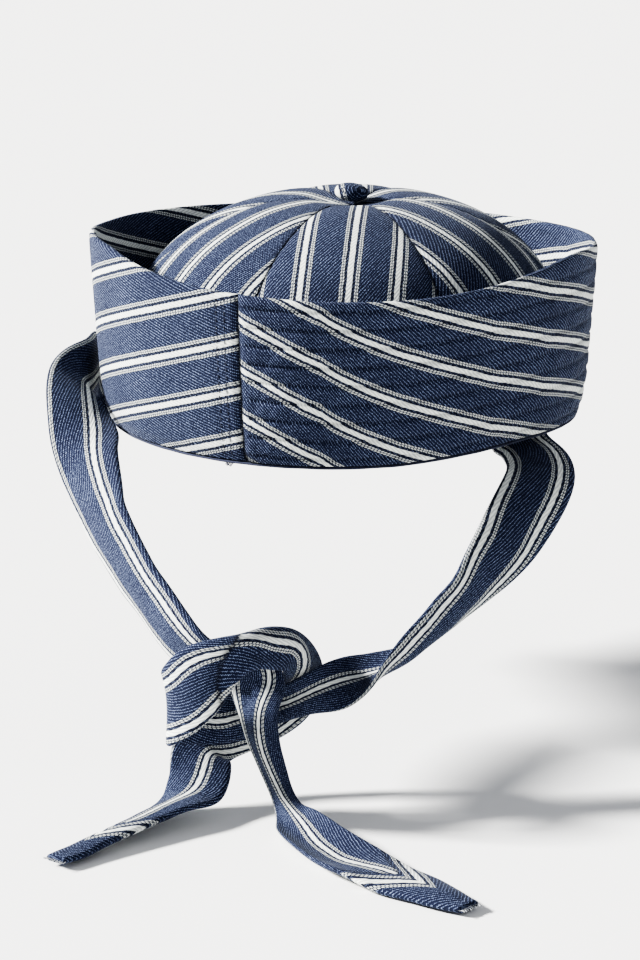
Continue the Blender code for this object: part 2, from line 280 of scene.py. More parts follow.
def cloth_grid(name, steps, place, flat, material, shade, closed=False):
    """A grid as a cloth: place gives its points and flat where they lie in the uncut cloth, both in mm, and
    shade how dark each point is painted, from 0 to 1: the seams' dark lines, and painted shade in
    grooves, creases and corners. A closed one is a tube along the grid."""
    bpy.ops.mesh.primitive_grid_add(x_subdivisions=steps[0], y_subdivisions=steps[1], size=2)
    made = bpy.context.object
    made.name = made.data.name = name
    mesh = made.data
    shares = (points_of(mesh)[:, :2] + 1) / 2
    lay_out(mesh, place(*shares.T), flat(*shares[corners_of(mesh)].T))
    mesh.materials.append(material)
    # how dark each point is painted: the seams' dark lines, and painted shade in grooves, creases and corners
    sewn = mesh.attributes.new("seam_shade", "FLOAT", "POINT")
    sewn.data.foreach_set("value", shade(*shares.T).astype(np.float32))
    if closed:
        bpy.ops.object.mode_set(mode="EDIT")
        bpy.ops.mesh.select_all(action="SELECT")
        bpy.ops.mesh.remove_doubles(threshold=0.00002)
        bpy.ops.mesh.select_all(action="DESELECT")
        bpy.ops.mesh.select_non_manifold()
        bpy.ops.mesh.fill_holes(sides=0)
        bpy.ops.object.mode_set(mode="OBJECT")
    smooth_and_leave()
    return made


def thicken(made, thickness):
    """Gives a sheet its cloth thickness behind its faces."""
    wall = made.modifiers.new("cloth", "SOLIDIFY")
    wall.thickness = thickness * MM
    wall.offset = -1
    bpy.context.view_layer.objects.active = made
    bpy.ops.object.modifier_apply(modifier=wall.name)


# Crown gores: six curved wedges of the twill, each cut with its stripes along its own middle, sewn edge to
# edge with the turnings inside, so that each gore swells between its seams.
GORE_SEAMS = [27, 87, 150, 210, 272, 332]
CROWN_CLOTH = 1.6
GORE_PUFF = 2.6  # how far the middle of a gore stands proud of its seams
GORE_RUMPLE = 0.55  # the depth of a gore's soft rumples
SEAM_PUCKER = 0.35  # the depth of the puckers beside its seams
CROWN_LEAN = 3.5  # how far the top leans to the right
GORE_MIDDLE = 66.0  # how far up a gore its slanted stripes are at their stated place
GORE_FACES = (96, 130)  # across a gore and up it
CROWN_PROFILE = [
    # radius, height
    (95.3, 0.6),
    (95.0, 12.0),
    (93.5, 28.0),
    (90.0, 43.0),
    (83.0, 57.0),
    (74.0, 68.0),
    (63.0, 76.5),
    (50.0, 83.0),
    (36.0, 87.6),
    (22.0, 89.4),
    (11.0, 88.2),
    (1.5, 87.0),
]
GORE_STRIPES = [
    # first stripe from the gore's middle, slant of the stripes
    (7.6, 0.0),
    (3.0, 0.02),
    (-6.0, 0.0),
    (5.0, -0.03),
    (-2.0, 0.02),
    (0.0, 0.055),
]
crown_arc = np.concatenate([[0], np.cumsum(np.hypot(*np.diff(CROWN_PROFILE, axis=0).T))])
BRIM_EDGES = [
    # angle, rim, foot
    (-180.0, 67.0, 0.0),
    (-150.0, 69.0, 0.0),
    (-125.0, 71.6, 0.0),
    (-105.0, 73.6, 0.0),
    (-84.0, 77.0, 0.0),
    (-66.0, 77.6, 0.0),
    (-50.0, 73.5, 0.0),
    (-32.0, 70.0, 0.0),
    (-10.0, 68.2, 0.0),
    (12.0, 68.0, 0.6),
    (31.0, 69.8, 2.6),
    (47.0, 73.0, 3.6),
    (63.0, 75.4, 2.6),
    (80.0, 72.6, 1.0),
    (105.0, 69.8, 0.0),
    (130.0, 67.0, 0.0),
    (155.0, 66.0, 0.0),
]


def edges_at(angle):
    """The rim's and the foot's height at these angles round the cap."""
    first, last = BRIM_EDGES[0], BRIM_EDGES[-1]
    closed = [(last[0] - 360, *last[1:]), *BRIM_EDGES, (first[0] + 360, *first[1:])]
    found = looked_up(closed, (np.asarray(angle) + 180) % 360 - 180)
    return found[:, 0], found[:, 1]


def round_axis(angle, radius, height):
    """Points at these angles from the front, in degrees, and at these distances from the axis."""
    turn = np.radians(angle)
    return np.stack([radius * np.sin(turn), -radius * np.cos(turn), height], axis=1)


def crown_gore(number, start, end):
    """One gore, from one seam's angle to the next."""
    first, slant = GORE_STRIPES[number - 1]
    last = len(CROWN_PROFILE) - 1
    half_angle = (end - start) / 2

    def place(side, up):
        across = 2 * side - 1
        edge = np.abs(across)
        radius, level = smooth_between(CROWN_PROFILE, up * last).T
        angle = start + half_angle + across * half_angle
        rise = np.minimum(1, up * 6)
        upright = np.sin(np.pi * np.minimum(1, 0.12 + 0.88 * up)) ** 0.7
        swell = (1 - 0.75 * edge**4 - 0.25 * edge**30) * upright
        soft = rumple(round_axis(angle, radius, level), 26, number) * (1 - edge**6)
        pucker = rumple(np.stack([across * 3, up * 160, 0 * up], axis=1), 5.0, number + 20)
        beside_seam = np.maximum(0, edge - 0.72) / 0.28
        proud = GORE_PUFF * (swell - 0.5) + GORE_RUMPLE * soft + SEAM_PUCKER * pucker * beside_seam
        proud = proud * rise
        outward = np.minimum(1, radius / CROWN_PROFILE[0][0])
        foot = edges_at(angle)[1] * np.maximum(0, 1 - level / 40)
        spots = round_axis(angle, radius + proud * outward, level + foot + proud * (1 - outward))
        spots[:, 0] += CROWN_LEAN * np.sin(np.pi / 2 * up)
        return spots

    def flat(side, up):
        radius = smooth_between(CROWN_PROFILE, up * last)[:, 0]
        arc = smooth_between(crown_arc[:, None], up * last)[:, 0]
        sideways = radius * np.radians((2 * side - 1) * half_angle)
        return np.stack([sideways - slant * (arc - GORE_MIDDLE), arc], axis=1)

    # the seams' dark lines, with painted shade in the dip where two gores meet
    def shade(side, up):
        radius = smooth_between(CROWN_PROFILE, up * last)[:, 0]
        off_seam = (1 - np.abs(2 * side - 1)) * np.radians(half_angle) * radius
        return 0.75 * np.exp(-((off_seam / 0.6) ** 2))

    material = striped_cloth(f"gore_twill_{number}", first, turn=-35)
    made = cloth_grid(f"crown_gore_{number}_cloth", GORE_FACES, place, flat, material, shade)
    thicken(made, CROWN_CLOTH)
    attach(made, "root")
    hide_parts(f"crown_gore_{number}")


for number, (start, end) in enumerate(zip(GORE_SEAMS, [*GORE_SEAMS[1:], GORE_SEAMS[0] + 360]), 1):
    crown_gore(number, start, end)

# Button: a domed disc covered with the same twill, its cloth gathered under it, sewn down over the tips of
# the gores.
BUTTON_RADIUS, BUTTON_HEIGHT = 7.0, 7.6
BUTTON_LEVEL = 91.4  # its middle
BUTTON_TILT = math.radians(6)  # down to the right
GATHERS = 14  # round its underside
bpy.ops.mesh.primitive_uv_sphere_add(segments=72, ring_count=36, radius=1)
button = bpy.context.object
button.name = button.data.name = "crown_button_cover"
ball_x, ball_y, ball_z = points_of(button.data).T
under = np.clip(-ball_z, 0, 1)
gather = 0.5 + 0.5 * np.cos(GATHERS * np.arctan2(ball_y, ball_x))
drawn_in = BUTTON_RADIUS * (1 - 0.05 * under * gather - 0.25 * under**3)
disc_x, disc_y = ball_x * drawn_in, ball_y * drawn_in
disc_z = np.sign(ball_z) * np.abs(ball_z) ** 0.8 * BUTTON_HEIGHT / 2
tilted_x = disc_x * math.cos(BUTTON_TILT) + disc_z * math.sin(BUTTON_TILT)
level = disc_z * math.cos(BUTTON_TILT) - disc_x * math.sin(BUTTON_TILT) + BUTTON_LEVEL
button_flat = np.stack([tilted_x + 0.3 * level, disc_y - level], axis=1)
lay_out(
    button.data,
    np.stack([tilted_x + CROWN_LEAN, disc_y, level], axis=1),
    button_flat[corners_of(button.data)],
)
button.data.materials.append(striped_cloth("button_twill", 21.6, turn=-35))
smooth_and_leave()
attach(button, "root")
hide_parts("crown_button")

# Brim: a tall band of doubled twill, folded over at the rim and turned up round the crown. A plain panel
# and a panel quilted in rows are joined by an upright seam at the front and another behind.
BRIM_CLOTH = 3.0
FOLD_RADIUS = BRIM_CLOTH / 2  # of the fold along the rim
FRONT_SEAM = -23.6
BACK_SEAM = 166.0
ROUND_RADIUS = 103.0  # where distances round the brim are measured
BRIM_WALL = [
    # share of the height, outer radius
    (0.0, 98.6),
    (0.06, 100.2),
    (0.22, 102.0),
    (0.45, 103.4),
    (0.75, 105.0),
    (1.0, 105.9),
]
QUILT_PITCH = 7.6
QUILT_FIRST = 3.2
OUTER_SHARE = 0.58  # of the faces up a panel, those on its outer side
SEAM_STITCHES = [5.6, 9.2]  # how far the two rows of stitches lie from the front seam
RIM_STITCH = 1.2  # how far the sewn line along the rim lies below it
PLAIN_SLOPE = math.atan(0.304)  # of the plain panel's stripes, down to the left
QUILTED_LEVEL = 37.0  # the height of the quilted panel's first stripe where its drop is 0
QUILTED_SCALE = 0.965  # how closely its stripes lie
BRIM_STEP = 1.25  # the length of a panel's faces round the cap
BRIM_FACES = 184  # round a panel's section
# how far the quilted panel's stripes have dropped at this distance round from the front
STRIPE_DROP = [
    # distance round, drop
    (-60.0, -31.0),
    (-41.0, -21.3),
    (-9.0, -5.3),
    (6.0, 3.5),
    (22.0, 10.6),
    (42.0, 17.6),
    (62.0, 24.4),
    (92.0, 32.6),
    (137.0, 44.5),
    (200.0, 60.0),
    (300.0, 85.0),
]


def brim_outside(angle, high, start, end, quilted):
    """The radius of a panel's outer face, and how dark it is painted there: the seams' dark lines, with
    painted shade in their dips, in the quilting's grooves and in the corners at the foot.
    """
    rim, foot = edges_at(angle)
    tall = rim - foot
    round_mm = np.radians(angle) * ROUND_RADIUS
    from_front_seam = np.radians(end - angle) * ROUND_RADIUS
    from_ends = np.minimum(np.radians(angle - start) * ROUND_RADIUS, from_front_seam)
    share = np.clip(high / tall, 0, 1)
    spots = np.stack([round_mm, high, 0 * high], axis=1)
    swell = 1 - np.exp(-((from_ends / 4.0) ** 2))
    # broad waves that grow towards the rim, and the dips at the seams
    push = 0.6 * rumple(spots, 48, 9) * share - 1.2 * np.exp(-((from_ends / 1.5) ** 2))
    # the seams' dark lines, with painted shade in their dips
    dark = 0.8 * np.exp(-((from_ends / 0.8) ** 2))
    if quilted:
        # the sewn rows' grooves, with puckered cloth between them
        row = (high - QUILT_FIRST + 0.5 * rumple(spots, 30, 8)) / QUILT_PITCH
        off_line = np.abs(row - np.round(row)) * QUILT_PITCH
        sewn = (high > QUILT_FIRST - 1) & (high < tall - 2)
        groove = np.exp(-(off_line**2)) * sewn
        pucker = rumple(np.stack([round_mm - 0.55 * high, 0.25 * high, 0 * high], axis=1), 5.0, 3)
        puffed = 0.42 * pucker + 0.25 * rumple(spots, 16, 12)
        push = push + swell * (0.3 - groove + puffed * (1 - groove))
        # painted shade in the grooves
        dark = dark + groove**3 * (0.3 + 0.25 * rumple(spots, 9, 15)) * swell
        # painted shade in the corner where the seams meet the foot
        dark = dark + 0.95 * np.exp(-((from_ends / 6.0) ** 2) - (high / 2.6) ** 2)
    else:
        # soft rumples, with the cloth drawn in along the top stitching
        push = push + swell * (0.45 * rumple(spots, 24, 5) + 0.15 * rumple(spots, 8, 6))
        for line in SEAM_STITCHES:
            push = push - 0.3 * np.exp(-((from_front_seam - line) ** 2))
    # the sewn line along the rim
    push = push - 0.25 * np.exp(-(((tall - high - RIM_STITCH) / 0.9) ** 2))
    return looked_up(BRIM_WALL, share)[:, 0] + push, np.clip(dark, 0, 1)


def brim_panel(name, node, start, end, quilted, material):
    """One panel of the brim, from one seam's angle to the other: up its outer side, over the rim, down its
    inner side and back under its foot."""

    def unrolled(along, turn):
        """The angle round the cap, the brim's height and its foot's there, and how far on the cloth is from
        its outer foot, with where the fold starts, where it ends and where the inner side ends."""
        angle = start + (end - start) * along
        rim, foot = edges_at(angle)
        tall = rim - foot
        fold_start = tall - FOLD_RADIUS
        fold_end = fold_start + math.pi * FOLD_RADIUS
        inner_end = fold_end + fold_start
        beyond = (turn - OUTER_SHARE) / (1 - OUTER_SHARE) * (inner_end + BRIM_CLOTH - fold_start)
        on = np.where(turn < OUTER_SHARE, turn / OUTER_SHARE * fold_start, fold_start + beyond)
        return angle, foot, tall, on, (fold_start, fold_end, inner_end)

    def place(along, turn):
        angle, foot, tall, on, (fold_start, fold_end, inner_end) = unrolled(along, turn)
        outer, under = on <= fold_start, on > inner_end
        fold = (on > fold_start) & (on <= fold_end)
        bend = np.clip((on - fold_start) / FOLD_RADIUS, 0, math.pi)
        depth = np.where(outer, 0, np.where(under, BRIM_CLOTH - (on - inner_end), BRIM_CLOTH))
        depth = np.where(fold, FOLD_RADIUS - FOLD_RADIUS * np.cos(bend), depth)
        high = np.where(outer, on, np.where(under, 0, inner_end - on))
        high = np.where(fold, fold_start + FOLD_RADIUS * np.sin(bend), high)
        outside, _ = brim_outside(angle, np.minimum(high, fold_start), start, end, quilted)
        smooth = looked_up(BRIM_WALL, np.clip(high / tall, 0, 1))[:, 0]
        soft = 0.35 * rumple(round_axis(angle, smooth, high), 14, 21)
        inside = smooth - BRIM_CLOTH + soft + 0.3 * (outside - smooth)
        radius = outside + (inside - outside) * np.clip(depth / BRIM_CLOTH, 0, 1)
        return round_axis(angle, radius, high + foot)

    def flat(along, turn):
        angle, foot, _, on, (fold_start, fold_end, _) = unrolled(along, turn)
        crest = (fold_start + fold_end) / 2
        level = foot + np.where(on <= crest, on, 2 * crest - on)
        round_mm = np.radians(angle) * ROUND_RADIUS
        if quilted:
            # each row of quilting bends the stripes a little, most of all near the front seam
            row = (level - foot - QUILT_FIRST) / QUILT_PITCH
            near_seam = 0.25 + 0.75 * np.exp(-(((round_mm + 42) / 45) ** 2))
            wave = 0.6 * (row - np.floor(row) - 0.5) * (on <= crest) * near_seam
            drop = looked_up(STRIPE_DROP, round_mm)[:, 0]
            rise = (level + wave - QUILTED_LEVEL + drop) * QUILTED_SCALE
            return np.stack([rise, round_mm - 0.35 * level], axis=1)
        rise = level * math.cos(PLAIN_SLOPE) - round_mm * math.sin(PLAIN_SLOPE)
        return np.stack([rise, level * math.sin(PLAIN_SLOPE) + round_mm * math.cos(PLAIN_SLOPE)], axis=1)

    def shade(along, turn):
        angle, _, _, on, (fold_start, _, _) = unrolled(along, turn)
        _, dark = brim_outside(angle, np.minimum(on, fold_start), start, end, quilted)
        return np.where(on <= fold_start, dark, 0)

    long_mm = math.radians(end - start) * ROUND_RADIUS
    steps = (round(long_mm / BRIM_STEP), BRIM_FACES)
    made = cloth_grid(name, steps, place, flat, material, shade, closed=True)
    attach(made, "root")
    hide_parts(node)


brim_panel(
    "brim_plain_cloth",
    "brim_plain_panel",
    BACK_SEAM - 360,
    FRONT_SEAM,
    False,
    striped_cloth("plain_brim_twill", 2.6, turn=34),
)
brim_panel(
    "brim_quilted_cloth",
    "brim_quilted_panel",
    FRONT_SEAM,
    BACK_SEAM,
    True,
    striped_cloth("quilted_brim_twill", 0.0, turn=25),
)

# Top stitching: two rows of navy thread through the plain panel beside the front seam. Each stitch shows
# for two millimetres and then dips through the cloth.
THREAD = 0.34
STITCH_LENGTH = 2.9
thread_paint, thread_tree, thread_shader = new_material("navy_thread")
thread_place = thread_tree.nodes.new("ShaderNodeTexCoord").outputs["Object"]
thread_grain = add_noise(thread_tree, thread_place, 1800)
thread_colour = add_mix(thread_tree, thread_grain, (0.004, 0.005, 0.014, 1), (0.03, 0.035, 0.07, 1))
thread_tree.links.new(thread_colour, thread_shader.inputs["Base Color"])
thread_shader.inputs["Roughness"].default_value = 0.7


def sewn_line(points):
    """A thread as a thin tube curve through these points in mm."""
    line = bpy.data.curves.new("thread", "CURVE")
    line.dimensions = "3D"
    line.bevel_depth = THREAD / 2 * MM
    line.bevel_resolution = 1
    line.use_fill_caps = True
    run = line.splines.new("POLY")
    run.points.add(len(points) - 1)
    for spot, point in zip(run.points, points):
        spot.co = (*(Vector(point) * MM), 1)
    made = bpy.data.objects.new("thread", line)
    bpy.context.collection.objects.link(made)
    return made


def joined_threads(name, lines, paint):
    """Those thread curves as one mesh piece."""
    for line in lines:
        line.select_set(True)
    bpy.context.view_layer.objects.active = lines[0]
    bpy.ops.object.convert(target="MESH")
    bpy.ops.object.join()
    made = bpy.context.object
    made.name = made.data.name = name
    made.data.materials.clear()
    made.data.materials.append(paint)
    smooth_and_leave()
    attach(made, "root")


stitch_lines = []
stitch_high = np.arange(1.5, 67.0, 0.32)
stitch_lift = 0.28 * np.cos(math.tau * stitch_high / STITCH_LENGTH) + 0.06
for line in SEAM_STITCHES:
    stitch_angle = np.full(len(stitch_high), FRONT_SEAM - math.degrees(line / ROUND_RADIUS))
    stitch_foot = edges_at(stitch_angle)[1]
    cloth_radius, _ = brim_outside(stitch_angle, stitch_high, BACK_SEAM - 360, FRONT_SEAM, False)
    stitch_path = round_axis(stitch_angle, cloth_radius + stitch_lift, stitch_high + stitch_foot)
    stitch_lines.append(sewn_line(stitch_path.tolist()))
joined_threads("front_seam_stitches", stitch_lines, thread_paint)
# the clipped ends of the seam's threads, a small tuft below the binding
TUFT_RADIUS, TUFT_ANGLE = 98.2, FRONT_SEAM - 3.4
thread_ends = []
for at in range(8):
    end_turn = np.array([TUFT_ANGLE - 0.22 * at])
    tuft_start = round_axis(end_turn, TUFT_RADIUS, edges_at(end_turn)[1] - 1.2)[0]
    curl = rumple(np.array([[at * 9.0, 0, k * 3.0] for k in range(5)]), 5, 31)
    drop = 0.3 + 0.07 * (at % 3)
    tuft_path = [tuft_start + [0.5 * k * curl[k], -0.3 * k * curl[-k], -drop * k] for k in range(5)]
    thread_ends.append(sewn_line(tuft_path))
joined_threads("seam_thread_ends", thread_ends, thread_paint)

# Binding: a narrow dark tape folded round the raw edges of brim and crown at the head opening.
BINDING_MIDDLE = 95.6  # the tape's middle, from the axis
BINDING_HALF = 3.1  # half its width
BINDING_RISE = 0.8  # half its thickness
BINDING_DROP = 1.0  # how far its middle lies below the brim's foot
bpy.ops.mesh.primitive_torus_add(
    major_segments=240, minor_segments=16, major_radius=BINDING_MIDDLE * MM, minor_radius=1.0 * MM
)
binding = bpy.context.object
binding.name = binding.data.name = "bottom_binding_tape"
ring = points_of(binding.data) / MM
tape_angle = np.degrees(np.arctan2(ring[:, 0], -ring[:, 1]))
reach = np.hypot(ring[:, 0], ring[:, 1]) - BINDING_MIDDLE
tape_high = edges_at(tape_angle)[1] - BINDING_DROP + ring[:, 2] * BINDING_RISE + 0.2 * rumple(ring, 9, 4)
tape = round_axis(tape_angle, BINDING_MIDDLE + reach * BINDING_HALF, tape_high)
binding.data.vertices.foreach_set("co", (tape * MM).ravel())
tape_cloth, tape_tree, tape_shader = new_material("binding_tape")
tape_place = tape_tree.nodes.new("ShaderNodeTexCoord").outputs["Object"]
tape_grain = add_noise(tape_tree, tape_place, 900, 3)
tape_colour = add_mix(tape_tree, tape_grain, (0.008, 0.01, 0.024, 1), (0.05, 0.058, 0.1, 1))
tape_tree.links.new(tape_colour, tape_shader.inputs["Base Color"])
tape_shader.inputs["Roughness"].default_value = 0.95
tape_bump = tape_tree.nodes.new("ShaderNodeBump")
tape_bump.inputs["Distance"].default_value = 0.0002
tape_tree.links.new(tape_grain, tape_bump.inputs["Height"])
tape_tree.links.new(tape_bump.outputs[0], tape_shader.inputs["Normal"])
binding.data.materials.append(tape_cloth)
smooth_and_leave()
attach(binding, "root")
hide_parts("bottom_binding")

# Ties: two long straps of the twill, each folded and sewn into a flat tube 30 mm wide with a mitred point.
# They start inside the brim's lower edge, hang to the knot, pass round each other and end in two tails.
TIE_CLOTH = 2.6
TIE_WIDE = 30.0
TIE_FIRST = 2.7  # the first stripe's middle, from the near edge
TIE_STEP = 1.2  # the length of a tie's faces along it
TIE_FACES = 72  # round a tie's section
TAIL_LENGTH = 60.0  # of a tie's end, where no squeeze gathers it
FRAY_COUNT, FRAY_PITCH = 9, 1.15  # the threads at a tie's end
# Each row is a section: its middle, the way across the cloth, how wide the cloth is there, how far its middle
# stands proud of its edges, how far the stripes have rolled round the tube, and how much cloth a face shows.
LEFT_TIE = [
    # x, y, z, across_x, across_y, across_z, wide, crown, roll, shows
    (-79.5, 42.5, 13, -5, -9, 0, 28, 1, 4, 30),
    (-79.5, 42.5, 5, -5, -9, 0, 28, 1, 4, 30),
    (-79.5, 42.5, -3, -5, -9, 0, 28, 1, 4, 30),
    (-84, 44.5, -7, -5, -9, 0, 28, 0, 4, 30),
    (-93, 47, -9, -5, -9, 0, 28, 0, 4, 30),
    (-102, 46, -3, -3, -8, -4, 28, 0, 4, 30),
    (-106, 39, 8, 0, -4, -9, 28, 0, 4, 30),
    (-106, 27, 11.5, 0, 0, -10, 28, 1, 4, 30),
    (-107, 9, 13, 1, 4, -8, 28, 1, 4, 30),
    (-110.5, -8, 13, 5, 6, -6, 28, 2, 4, 30),
    (-110, -26, 11, 8, 4, -4, 28, 3, 4, 30),
    (-107, -44, 4, 10, 0, -2, 28, 3, 4, 30),
    (-104, -62, -7, 8, -3, 4, 28, 3, 3, 30),
    (-100, -78, -15, 7, -4, 6, 27, 4, 2, 30),
    (-95, -95, -24, 5, -5, 7, 27, 3, 0, 30),
    (-87, -112, -34, 4, -5, 8, 27, 3, -1, 30),
    (-77, -129, -44, 3, -5, 8, 26, 3, -1, 30),
    (-67, -144, -53, 3, -4, 8, 24, 3, -1, 30),
    (-58, -154, -59, 2, -4, 9, 21, 1, 0, 30),
    (-50, -159, -62, 1, -3, 9, 17, 0, 0, 30),
    (-43.5, -158, -62, 3, -1, 9, 17, 0, 0, 30),
    (-38, -157, -62, 6, 2, 7, 18, 0, 0, 30),
    (-34, -157.4, -68.2, 8, 4, 4, 23, 2, -1, 33),
    (-34, -163, -79, 8, -5, 2, 18, 2, -1, 36),
    (-33, -166, -89, 7, -6, 2, 16, 3, -1, 37),
    (-29.5, -168, -99, 7, -6, 3, 13, 3, -1, 36),
    (-25.5, -171, -109, 7, -5, 5, 10, 2, 0, 34),
    (-22, -177, -115, 8, -1, 5, 11, 1, 3, 32),
    (-18, -189, -116, 8, 3, 4, 17, -4, 5, 30),
    (-11, -204, -117, 8, 5, 2, 21, -5, 7, 30),
    (-2, -217, -118, 8, 6, 1, 24, -4, 8, 30),
    (8, -227, -118.5, 7, 7, 0, 25, -1, 8, 30),
    (18, -236, -119.5, 7, 7, 0, 24, 2, 8, 30),
    (28, -245, -119.5, 7, 7, 0, 21, 2, 8, 30),
    (36, -254, -119.5, 7, 7, 0, 16, 2, 8, 30),
    (44, -262, -120, 7, 7, 0, 10, 0, 8, 30),
]
RIGHT_TIE = [
    # x, y, z, across_x, across_y, across_z, wide, crown, roll, shows
    (70, -50, 17, 8, 7, 0, 28, 1, 0, 30),
    (70, -50, 9, 8, 7, 0, 28, 1, 0, 30),
    (70, -50.5, 2.5, 8, 6, 0, 28, 1, 0, 30),
    (72, -52, -2.4, 9, 5, 0, 28, 1, 0, 30),
    (76, -57, -3.8, 9, 4, 0, 28, 1, 0, 30),
    (79, -65, -5.8, 9, 3, 0, 28, 2, 0, 30),
    (79.5, -76, -8.5, 10, 2, -1, 28, 2, 0, 30),
    (76.5, -88, -13, 9, 1, -3, 28, 3, 0, 30),
    (70, -101, -21, 8, 1, -5, 28, 3, 0, 30),
    (63, -112, -29, 6, 2, -7, 28, 3, -1, 30),
    (54.5, -122, -37, 4, 4, -8, 27, 3, -1, 30),
    (46, -130, -45, 2, 6, -8, 26, 3, -2, 30),
    (38, -135, -52, 2, 7, -7, 25, 4, -2, 30),
    (30, -139, -58, 1, 8, -6, 24, 5, -2, 30),
    (22, -141, -64, 0, 9, -4, 23, 6, -2, 30),
    (14, -143, -68, -1, 10, -1, 22, 6, -1, 30),
    (6, -145, -72, -2, 9, 3, 23, 4, 0, 30),
    (-3, -147, -75, -1, 7, 7, 21, 1, 0, 30),
    (-13, -150, -77, -1, 4, 9, 16, -1, -1, 30),
    (-22, -152, -80, 0, 2, 10, 14, 0, -2, 30),
    (-31, -152, -82, 0, 2, 10, 16, 0, -3, 30),
    (-40, -152, -84, 1, 2, 10, 19, 0, -4, 30),
    (-48, -151, -86, 1, 2, 10, 22, 0, -5, 30),
    (-56, -152, -85, 1, 1, 10, 24, 0, -4, 30),
    (-63, -154, -83, 0, 0, 10, 26, 1, -3, 30),
    (-67, -159, -81, 0, 0, 10, 28, 1, -3, 30),
    (-66, -166, -77, 0, 0, 10, 28, 1, -2, 20),
    (-61, -171, -70, -1, 1, 10, 28, 2, 0, 17),
    (-54, -174, -61.5, -2, 1, 10, 26, 2, 0, 17),
    (-46, -175, -56, -3, 0, 10, 20, 2, 1, 17),
    (-39, -174, -53, -2, 2, 9, 15, 2, 4, 16),
    (-34, -169, -53, -1, 4, 9, 15, 2, 6, 16),
    (-28, -162.5, -54.5, 0, 4, 9, 17, 2, 8, 17),
    (-20.5, -153, -58.5, 2, 3, 9, 17, 3, 8, 17),
    (-17.2, -144, -66.5, 5, 2, 8, 19, 3, 10, 20),
    (-17, -136, -77, 8, 1, 5, 21, 2, 14, 24),
    (-20, -132, -86, 9, 0, 0, 19, 1, 17, 28),
    (-29, -133, -92, 6, 0, -7, 20, 0, 14, 30),
    (-40, -137, -95, 3, 0, -9, 22, 0, 13, 30),
    (-50, -140, -98, 6, 0, -8, 23, 1, 15, 30),
    (-56, -146, -102, 9, 0, -3, 24, 1, 20, 30),
    (-56, -153, -108, 10, -1, 0, 24, 2, 22, 30),
    (-59, -161, -114, 10, -3, 1, 25, 2, 22, 30),
    (-66, -169, -116, 9, -4, 3, 23, 2, 22, 30),
    (-75, -179, -117, 8, -5, 3, 19, 2, 21, 30),
    (-86, -191, -118, 8, -5, 3, 16, 2, 21, 30),
    (-96, -202, -119, 8, -5, 2, 14, 2, 21, 30),
    (-103, -211, -119.5, 8, -5, 1, 12, 1, 21, 30),
    (-108, -217, -119.5, 8, -5, 0, 9, 0, 21, 30),
]
# the right tie's fold over the knot
KNOT_FOLD = 28.9  # its place in the table
FOLD_SLANT = 0.8  # how far it slants over the cloth
FOLD_JUMP = 4  # how far the stripes jump there
# the V of stripes on a tail's end
MITRE_POINT = 24  # its tip, from the tail's end
MITRE_SLOPE = 1.7  # the slope of its arms
MITRE_SEAM = 5.5  # how far its seam lies outside the arms
# the frayed threads are paler than the sewn ones
fray_paint = thread_paint.copy()
fray_paint.name = "frayed_thread"
for node in fray_paint.node_tree.nodes:
    if node.type == "MIX":
        node.inputs[6].default_value = (0.1, 0.12, 0.2, 1)
        node.inputs[7].default_value = (0.75, 0.76, 0.72, 1)


def tie_sections(rows, count):
    """Frames along a tie at an even spacing: middles, tangents, ways across, other columns and lengths."""
    samples = smooth_between(rows, np.linspace(0, len(rows) - 1, 14 * len(rows)))
    run = np.concatenate([[0], np.cumsum(np.linalg.norm(np.diff(samples[:, :3], axis=0), axis=1))])
    even = np.linspace(0, run[-1], count)
    rows = np.stack([np.interp(even, run, column) for column in samples.T], axis=1)
    for _ in range(14):
        rows[1:-1] = (rows[:-2] + 2 * rows[1:-1] + rows[2:]) / 4
    tangent = np.gradient(rows[:, :3], axis=0)
    tangent /= np.linalg.norm(tangent, axis=1)[:, None]
    way = rows[:, 3:6] - (rows[:, 3:6] * tangent).sum(axis=1)[:, None] * tangent
    way /= np.linalg.norm(way, axis=1)[:, None]
    return rows[:, :3], tangent, way, rows[:, 6:].T, even


